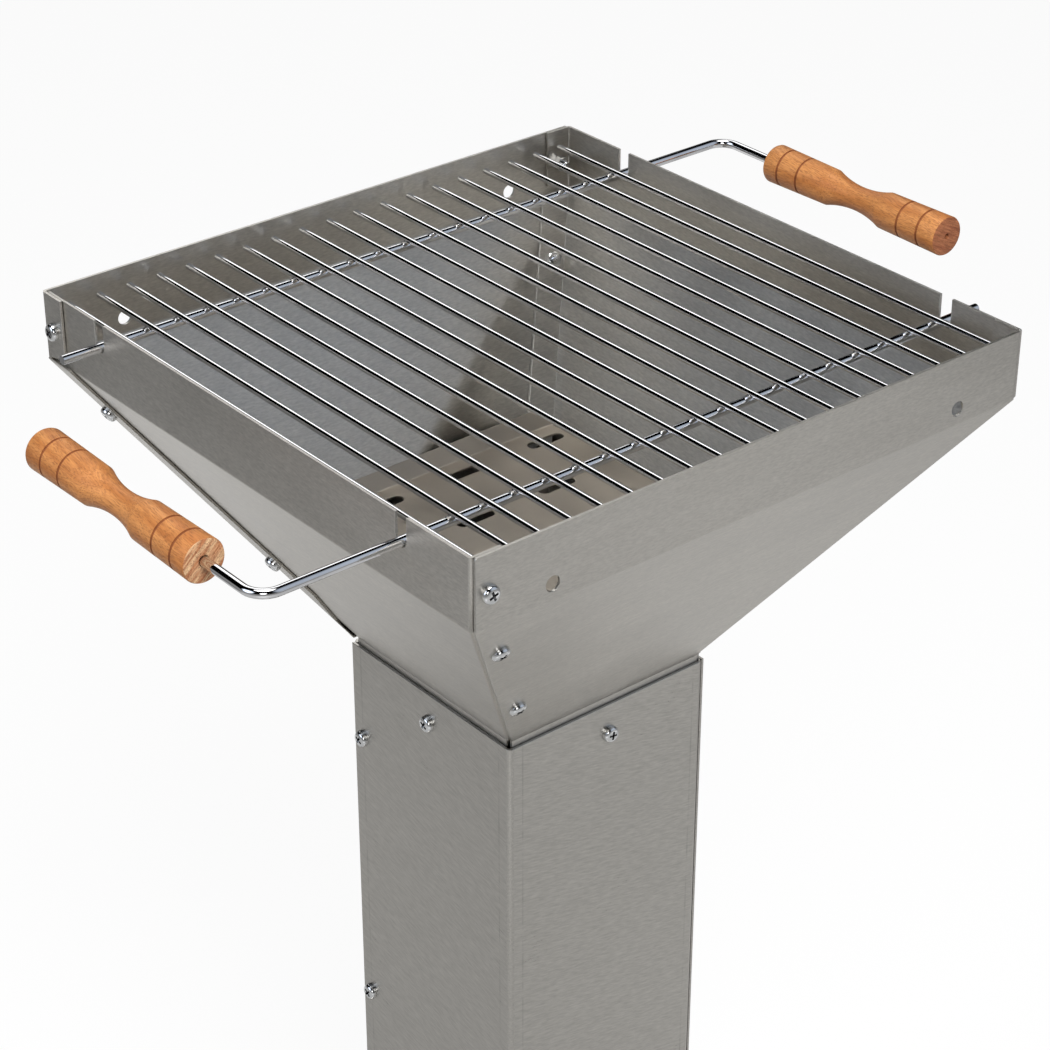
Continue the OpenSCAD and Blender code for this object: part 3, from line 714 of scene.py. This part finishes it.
def weldTree():
    # a small uneven bead on every point
    tree, given, result = geometryTree(
        "weldBeads", {"Size": "Vector", "Spread": "Float", "Detail": "Int", "Bumps": "Float",
                      "Seed": "Int", "Finish": "Material"})
    bead = addNode(tree, "GeometryNodeMeshIcoSphere",
                   {"Radius": 1.0, "Subdivisions": given["Detail"]})
    bent = addNode(tree, "ShaderNodeTexNoise", {"Scale": given["Bumps"], "Detail": 2.0})
    push = addNode(tree, "ShaderNodeVectorMath", {0: bent.outputs["Color"], 1: (0.5, 0.5, 0.5)},
                   operation="SUBTRACT")
    uneven = addNode(tree, "GeometryNodeSetPosition",
                     {"Geometry": bead.outputs[0], "Offset": push.outputs[0]})
    smooth = addNode(tree, "GeometryNodeSetShadeSmooth", {"Geometry": uneven.outputs[0]})
    less = mathOf(tree, "SUBTRACT", 1.0, given["Spread"])
    more = mathOf(tree, "ADD", 1.0, given["Spread"])
    chance = addNode(tree, "FunctionNodeRandomValue", {2: less, 3: more, "Seed": given["Seed"]},
                     data_type="FLOAT")
    size = scaled(tree, given["Size"], chance.outputs[1])
    place = addNode(tree, "GeometryNodeInstanceOnPoints",
                    {"Points": given["Geometry"], "Instance": smooth.outputs[0], "Scale": size})
    return endTree(tree, place.outputs[0], given, result)


barPiece = barTemplate(grate)
bars = newPiece("grateBars", meshFrom("grateBars", [(0, 0, 0)], []))
firstBar, step = -grate["barSpread"] / 2, grate["barSpread"] / (grate["bars"] - 1)
runTree(bars, barTree(), {
    "Bar": barPiece, "Count": grate["bars"], "Finish": chrome,
    "Start": Vector((firstBar, 0, grate["barHeight"])) * mm, "Step": Vector((step, 0, 0)) * mm})
dropTemplate(barPiece)
put(bars, "grate", "wire", "grate_bars")

wireX, wireY, wireZ = grate["handleX"], grate["wireHalf"], grate["wireHeight"]
wirePath = []
for turned, end in zip((1, -1), grate["wireEnds"]):
    route = ((grate["wireTip"], -wireY), (-wireX, -wireY), (-wireX, end))
    wirePath += [(turned * x, turned * y, wireZ) for x, y in route]
wires = newPiece(
    "crossWires", meshFrom("crossWires", wirePath, [], [(0, 1), (1, 2), (3, 4), (4, 5)]))
runTree(wires, wireTree(), {
    "Radius": grate["wireRadius"] * mm, "Segments": grate["wireSegments"],
    "Bend": grate["bend"] * mm, "Bend steps": grate["bendSteps"], "Finish": chrome})
smoothShade(wires.data, grate["wireSmooth"])
put(wires, "grate", "wire", "cross_wire_front", "cross_wire_back")

crossings = [(firstBar + i * step, side * wireY, grate["weldHeight"])
             for side in (-1, 1) for i in range(grate["bars"])]
welds = newPiece("weldBeads", meshFrom("weldBeads", crossings, []))
runTree(welds, weldTree(), {
    "Size": Vector(grate["weldSize"]) * mm, "Spread": grate["weldSpread"],
    "Detail": grate["weldDetail"], "Bumps": grate["weldBumps"], "Seed": grate["weldSeed"],
    "Finish": weldMetal})
put(welds, "grate", "wire")
print("grate made")


# In millimetres, from the end that the wire goes in
handle = {
    "length": 132.5, "radius": 11.2, "shoulder": 10.5, "waist": 6.9, "waistSteps": 28,
    "roundEnd": 45, "grooves": (11, 26, 104.5, 119.5), "grooveRadius": 0.75, "grooveSteps": 6,
    "bevel": 1.0, "bevelMiddle": (0.35, 0.3), "endRing": 0.6,
    "bore": 2.7, "boreDepth": 60.3, "boreTaper": 0.6, "boreChamfer": 0.25,
    "pilot": 1.5, "pilotDepth": 8, "pilotTaper": 0.8, "pilotChamfer": 0.2,
    "wireEndY": (-83, -79.5), "segments": 96, "smooth": 28,
    "endRoom": 0.3, "endFacing": 0.8, "grooveRoom": 0.01,
}


def handleEnd(sizes, hole, chamfer):
    # (radius, distance in) from a hole's edge out round the bevel, the same at both ends
    r, bevel = sizes["radius"], sizes["bevel"]
    inward, along = sizes["bevelMiddle"]
    return [(hole, chamfer), (hole + chamfer, 0), (r * sizes["endRing"], 0), (r - bevel, 0),
            (r - bevel * inward, bevel * along), (r, bevel)]


def groove(sizes, at):
    r, deep, steps = sizes["radius"], sizes["grooveRadius"], sizes["grooveSteps"]
    fromEnd = min(at, sizes["length"] - at)
    here = r - (r - sizes["shoulder"]) * fromEnd / sizes["roundEnd"]
    turns = [math.pi * i / steps for i in range(steps + 1)]
    return [(here - deep * math.sin(a), at - deep * math.cos(a)) for a in turns]


def handleProfile(sizes):
    # (radius, distance from the wire end) from the bore's bottom round to the pilot hole's
    length = sizes["length"]
    profile = [(0, sizes["boreDepth"]), (sizes["bore"], sizes["boreDepth"] - sizes["boreTaper"])]
    profile += handleEnd(sizes, sizes["bore"], sizes["boreChamfer"])
    for at in sizes["grooves"][:2]:
        profile += groove(sizes, at)
    half = length / 2 - sizes["roundEnd"]
    dip = sizes["shoulder"] - sizes["waist"]
    bow = (half * half + dip * dip) / (2 * dip)
    for i in range(sizes["waistSteps"] + 1):
        t = -half + 2 * half * i / sizes["waistSteps"]
        profile.append((sizes["waist"] + bow - math.sqrt(bow * bow - t * t), length / 2 + t))
    for at in sizes["grooves"][2:]:
        profile += groove(sizes, at)
    freeEnd = handleEnd(sizes, sizes["pilot"], sizes["pilotChamfer"])
    profile += [(r, length - inward) for r, inward in reversed(freeEnd)]
    pilotEnd = length - sizes["pilotDepth"]
    return profile + [(sizes["pilot"], pilotEnd + sizes["pilotTaper"]), (0, pilotEnd)]


def turnedWood(name, look):
    # straight-grained turned wood: broad bands, fine fibres and short dark pores along Y
    material, tree, shader = newMaterial(name, look["color"], look["roughness"])
    solid = addNode(tree, "ShaderNodeTexCoord").outputs["Object"]
    turned = {"Vector": solid, "Rotation": look["turn"]}
    place = addNode(tree, "ShaderNodeMapping", turned).outputs[0]
    warp = addNode(tree, "ShaderNodeTexNoise",
                   {"Vector": place, "Scale": look["warpScale"], "Detail": 2.0})
    moved = addNode(tree, "ShaderNodeVectorMath",
                    {0: warp.outputs["Color"], 1: look["warp"], 2: place},
                    operation="MULTIPLY_ADD").outputs[0]
    bands = stretchedNoise(tree, moved, look["bandSize"], seed=1.1, detail=2, roughness=0.5)
    fibres = stretchedNoise(tree, moved, look["fibreSize"], seed=2.7, detail=4, roughness=0.65)
    pores = stretchedNoise(tree, moved, look["poreSize"], seed=6.1, detail=1, roughness=0.4)
    band = remap(tree, bands, *look["bandSpan"], 0.0, 1.0, True)
    tone = mixColors(tree, band, look["lightColor"], look["color"])
    fibre = remap(tree, fibres, *look["fibreSpan"], 0.0, look["fibreShare"])
    tone = mixColors(tree, fibre, tone, look["darkColor"])
    pore = remap(tree, pores, *look["poreSpan"], 0.0, look["poreShare"])
    tone = mixColors(tree, pore, tone, look["poreColor"])
    tree.links.new(tone, shader.inputs["Base Color"])
    smoothest, roughest = (look["roughness"] + change for change in look["roughChange"])
    rough = remap(tree, fibres, *noiseSpan, smoothest, roughest)
    tree.links.new(rough, shader.inputs["Roughness"])
    height = mathOf(tree, "SUBTRACT", mathOf(tree, "MULTIPLY", fibres, look["fibreHeight"]), pore)
    setBump(tree, shader, height, look["depth"], look["bump"])
    return material


woodLook = {
    "color": (0.405, 0.148, 0.038), "lightColor": (0.56, 0.245, 0.078),
    "darkColor": (0.25, 0.08, 0.021), "poreColor": (0.13, 0.04, 0.013),
    "roughness": 0.5, "roughChange": (-0.08, 0.1), "turn": (0.03, 0.0, 0.12),
    "warpScale": 28.0, "warp": (0.004, 0.02, 0.004),
    "bandSize": (0.006, 0.10, 0.006), "bandSpan": (0.35, 0.68),
    "fibreSize": (0.0008, 0.014, 0.0008), "fibreSpan": (0.4, 0.75), "fibreShare": 0.7,
    "poreSize": (0.00038, 0.0048, 0.00038), "poreSpan": (0.55, 0.62), "poreShare": 0.5,
    "fibreHeight": 0.6, "depth": 0.0001, "bump": 0.7,
}
endLook = dict(
    woodLook, color=(0.43, 0.17, 0.07), lightColor=(0.76, 0.50, 0.28),
    darkColor=(0.16, 0.045, 0.018), roughness=0.62, turn=(0, 0.7, 0),
    bandSize=(0.02, 0.02, 0.0017), fibreSize=(0.006, 0.006, 0.0006), fibreShare=0.85,
    poreSize=(0.0008, 0.0008, 0.0005), depth=0.0002)
grooveLook = dict(
    woodLook, color=(0.20, 0.06, 0.019), lightColor=(0.27, 0.088, 0.028),
    darkColor=(0.11, 0.032, 0.012), roughness=0.65)
# painted shade: the free ends get a darker copy of the end grain, for the shade that falls on them
shadedFreeEndLook = dict(
    endLook, color=(0.27, 0.085, 0.035), lightColor=(0.42, 0.16, 0.07),
    darkColor=(0.09, 0.025, 0.012), turn=(0, -0.5, 0))
woods = [turnedWood("turnedBeech", woodLook), turnedWood("beechEnd", endLook),
         turnedWood("beechGroove", grooveLook), turnedWood("beechFreeEnd", shadedFreeEndLook)]
wireEndWood, grooveWood, shadedFreeEndWood = 1, 2, 3


def markWood(bm, sizes):
    # which wood each face shows: turned, an end or a groove, and on the free ends a darker copy of
    # the end grain that paints shade
    reach = sizes["grooveRadius"] + sizes["grooveRoom"]
    for face in bm.faces:
        centre = face.calc_center_median() / mm
        inHole = math.hypot(centre.x, centre.y) < sizes["bore"] + sizes["endRoom"]
        if inHole or abs(face.normal.z) > sizes["endFacing"]:
            face.material_index = shadedFreeEndWood if centre.z > sizes["length"] / 2 else wireEndWood
        if any(at - reach < centre.z < at + reach for at in sizes["grooves"]):
            face.material_index = grooveWood


def turnedHandle(name, node, side, sizes):
    mesh = lathed(name, handleProfile(sizes), sizes["segments"])
    for material in woods:
        mesh.materials.append(material)
    bm = bmesh.new()
    bm.from_mesh(mesh)
    bmesh.ops.recalc_face_normals(bm, faces=bm.faces)
    markWood(bm, sizes)
    # +Z of the lathe becomes +Y, then the other handle is half a turn round
    place = Vector((-grate["handleX"], sizes["wireEndY"][side > 0], grate["wireHeight"])) * mm
    bm.transform(Matrix.Rotation(-math.pi / 2, 4, "X"))
    bm.transform(Matrix.Translation(place))
    if side > 0:
        bm.transform(Matrix.Rotation(math.pi, 4, "Z"))
    bm.to_mesh(mesh)
    bm.free()
    smoothShade(mesh, sizes["smooth"])
    put(newPiece(name, mesh), "grate", "wood", node)


turnedHandle("handleLeft", "handle_left", -1, handle)
turnedHandle("handleRight", "handle_right", 1, handle)
print("handles made")


studio = {
    "floorSize": 14.0, "floorDrop": 0.0002, "floorColor": 0.93, "floorRoughness": 0.9,
    "cameraShare": 0.9, "glossyShare": 0.06,
    # how pale the floor looks in the steel, and painted pools of light and shade that make it
    # lighter or darker there, as (middle, reach, change as a share of the bounce)
    "floorBounce": 0.407,
    "paintedLightPools": (
        ((0.1, 0.9, 0), 0.75, 1.49), ((-1.25, 1.35, 0), 1.0, -0.99), ((0.5, -0.1, 0), 0.6, 0.61),
        ((0.85, -1.05, 0), 0.55, 1.5), ((-0.85, -0.75, 0), 0.6, 0.8),
    ),
    "worldFill": 0.42,
    # what the steel mirrors above the floor: the pale band at the horizon, as level and the
    # elevations of full and of no light, then soft panels as (azimuth, elevation, degrees of
    # full light, degrees to no light, level, tint)
    "horizon": (0.30, 4, 12),
    "plain": (1.0, 1.0, 1.0), "cool": (0.90, 1.0, 1.17),
    "panels": (
        (64, 36, 14, 19, 1.7, "plain"), (-50, 30, 10, 40, 0.55, "cool"),
        (230, 25, 4, 14, 5.0, "plain"), (168, 28, 8, 26, 2.2, "cool"),
        (0, 90, 6, 22, 9.2, "plain"),
    ),
}
# Soft lamps that the steel doesn't mirror: place, size and power
lamps = {
    "keySoftbox": ((-0.6, -1.5, 2.3), 1.4, 66),
    "fillSoftbox": ((-1.7, 0.7, 1.9), 1.2, 20),
}
lampTarget = (0, 0, 0.5)
camera = {
    "place": (-0.8100, -0.9784, 1.3108), "turn": (59.91, 0, -39.57), "lens": 95.79, "sensor": 36,
    "nearest": 0.02,
}


def seenPlainly(tree, rays):
    return mathOf(tree, "MAXIMUM", rays["Is Camera Ray"], rays["Is Transmission Ray"])


def makeFloor(look):
    half, drop = look["floorSize"] / 2 / mm, look["floorDrop"] / mm
    corners = [(-half, -half, -drop), (half, -half, -drop),
               (half, half, -drop), (-half, half, -drop)]
    floor = newPiece("floor", meshFrom("floor", corners, [(0, 1, 2, 3)]))
    seenColor = (look["floorColor"],) * 3
    material, tree, shader = newMaterial("paleFloor", seenColor, look["floorRoughness"])
    shader.inputs["Specular IOR Level"].default_value = 0.0
    rays = addNode(tree, "ShaderNodeLightPath").outputs
    solid = addNode(tree, "ShaderNodeTexCoord").outputs["Object"]
    level = look["floorBounce"]
    # painted pools of light and shade on the floor: every ray but the camera's sees them
    for middle, reach, change in look["paintedLightPools"]:
        away = addNode(tree, "ShaderNodeVectorMath", {0: solid, 1: middle}, operation="DISTANCE")
        change *= look["floorBounce"]
        paintedPool = remap(tree, away.outputs["Value"], 0.0, reach, change, 0.0, True)
        level = mathOf(tree, "ADD", level, paintedPool)
    paintedFloorGray = addNode(tree, "ShaderNodeCombineColor", {0: level, 1: level, 2: level}).outputs[0]
    tone = mixColors(tree, rays["Is Camera Ray"], paintedFloorGray, seenColor)
    tree.links.new(tone, shader.inputs["Base Color"])
    seen = mathOf(tree, "MULTIPLY", seenPlainly(tree, rays), look["cameraShare"])
    gloss = mathOf(tree, "MULTIPLY", rays["Is Glossy Ray"], look["glossyShare"])
    white = addNode(tree, "ShaderNodeEmission", {"Color": (1, 1, 1, 1), "Strength": 1.0})
    mix = addNode(tree, "ShaderNodeMixShader", {
        0: mathOf(tree, "MAXIMUM", seen, gloss), 1: shader.outputs[0], 2: white.outputs[0]})
    tree.links.new(mix.outputs[0], tree.nodes["Material Output"].inputs["Surface"])
    floor.data.materials.append(material)


def makeWorld(look):
    world = bpy.data.worlds.new("studio")
    bpy.context.scene.world = world
    world.use_nodes = True
    tree = world.node_tree
    rays = addNode(tree, "ShaderNodeLightPath").outputs
    toSky = addNode(tree, "ShaderNodeTexCoord").outputs["Generated"]
    height = addNode(tree, "ShaderNodeSeparateXYZ", {0: toSky}).outputs[2]
    band, full, none = look["horizon"]
    full, none = (math.sin(math.radians(a)) for a in (full, none))
    sky = scaled(tree, look["plain"], remap(tree, height, full, none, band, 0.0, True))
    for azimuth, elevation, full, none, strength, tint in look["panels"]:
        a, e = math.radians(azimuth), math.radians(elevation)
        middle = (math.cos(a) * math.cos(e), math.sin(a) * math.cos(e), math.sin(e))
        near = addNode(tree, "ShaderNodeVectorMath", {0: toSky, 1: middle},
                       operation="DOT_PRODUCT").outputs["Value"]
        full, none = (math.cos(math.radians(a)) for a in (full, none))
        panel = scaled(tree, look[tint], remap(tree, near, none, full, 0.0, strength, True))
        sky = addNode(tree, "ShaderNodeVectorMath", {0: sky, 1: panel}, operation="ADD").outputs[0]
    tone = mixColors(tree, rays["Is Glossy Ray"], (look["worldFill"],) * 3, sky)
    tone = mixColors(tree, seenPlainly(tree, rays), tone, (1, 1, 1))
    background = tree.nodes["Background"]
    tree.links.new(tone, background.inputs["Color"])
    background.inputs["Strength"].default_value = 1.0


def addLamp(name, place, size, power):
    data = bpy.data.lights.new(name, "AREA")
    data.shape = "SQUARE"
    data.size = size
    data.energy = power
    lamp = bpy.data.objects.new(name, data)
    lamp.location = place
    lamp.rotation_euler = (Vector(lampTarget) - Vector(place)).to_track_quat("-Z", "Y").to_euler()
    lamp.visible_glossy = False
    bpy.context.scene.collection.objects.link(lamp)


def addCamera(view):
    lens = bpy.data.cameras.new("camera")
    lens.lens = view["lens"]
    lens.sensor_width = view["sensor"]
    lens.clip_start = view["nearest"]
    viewer = bpy.data.objects.new("camera", lens)
    viewer.location = view["place"]
    viewer.rotation_euler = [math.radians(a) for a in view["turn"]]
    bpy.context.scene.collection.objects.link(viewer)
    bpy.context.scene.camera = viewer


makeFloor(studio)
makeWorld(studio)
for name, (place, size, power) in lamps.items():
    addLamp(name, place, size, power)
addCamera(camera)
bpy.context.scene.view_settings.view_transform = "Standard"
print("studio made")
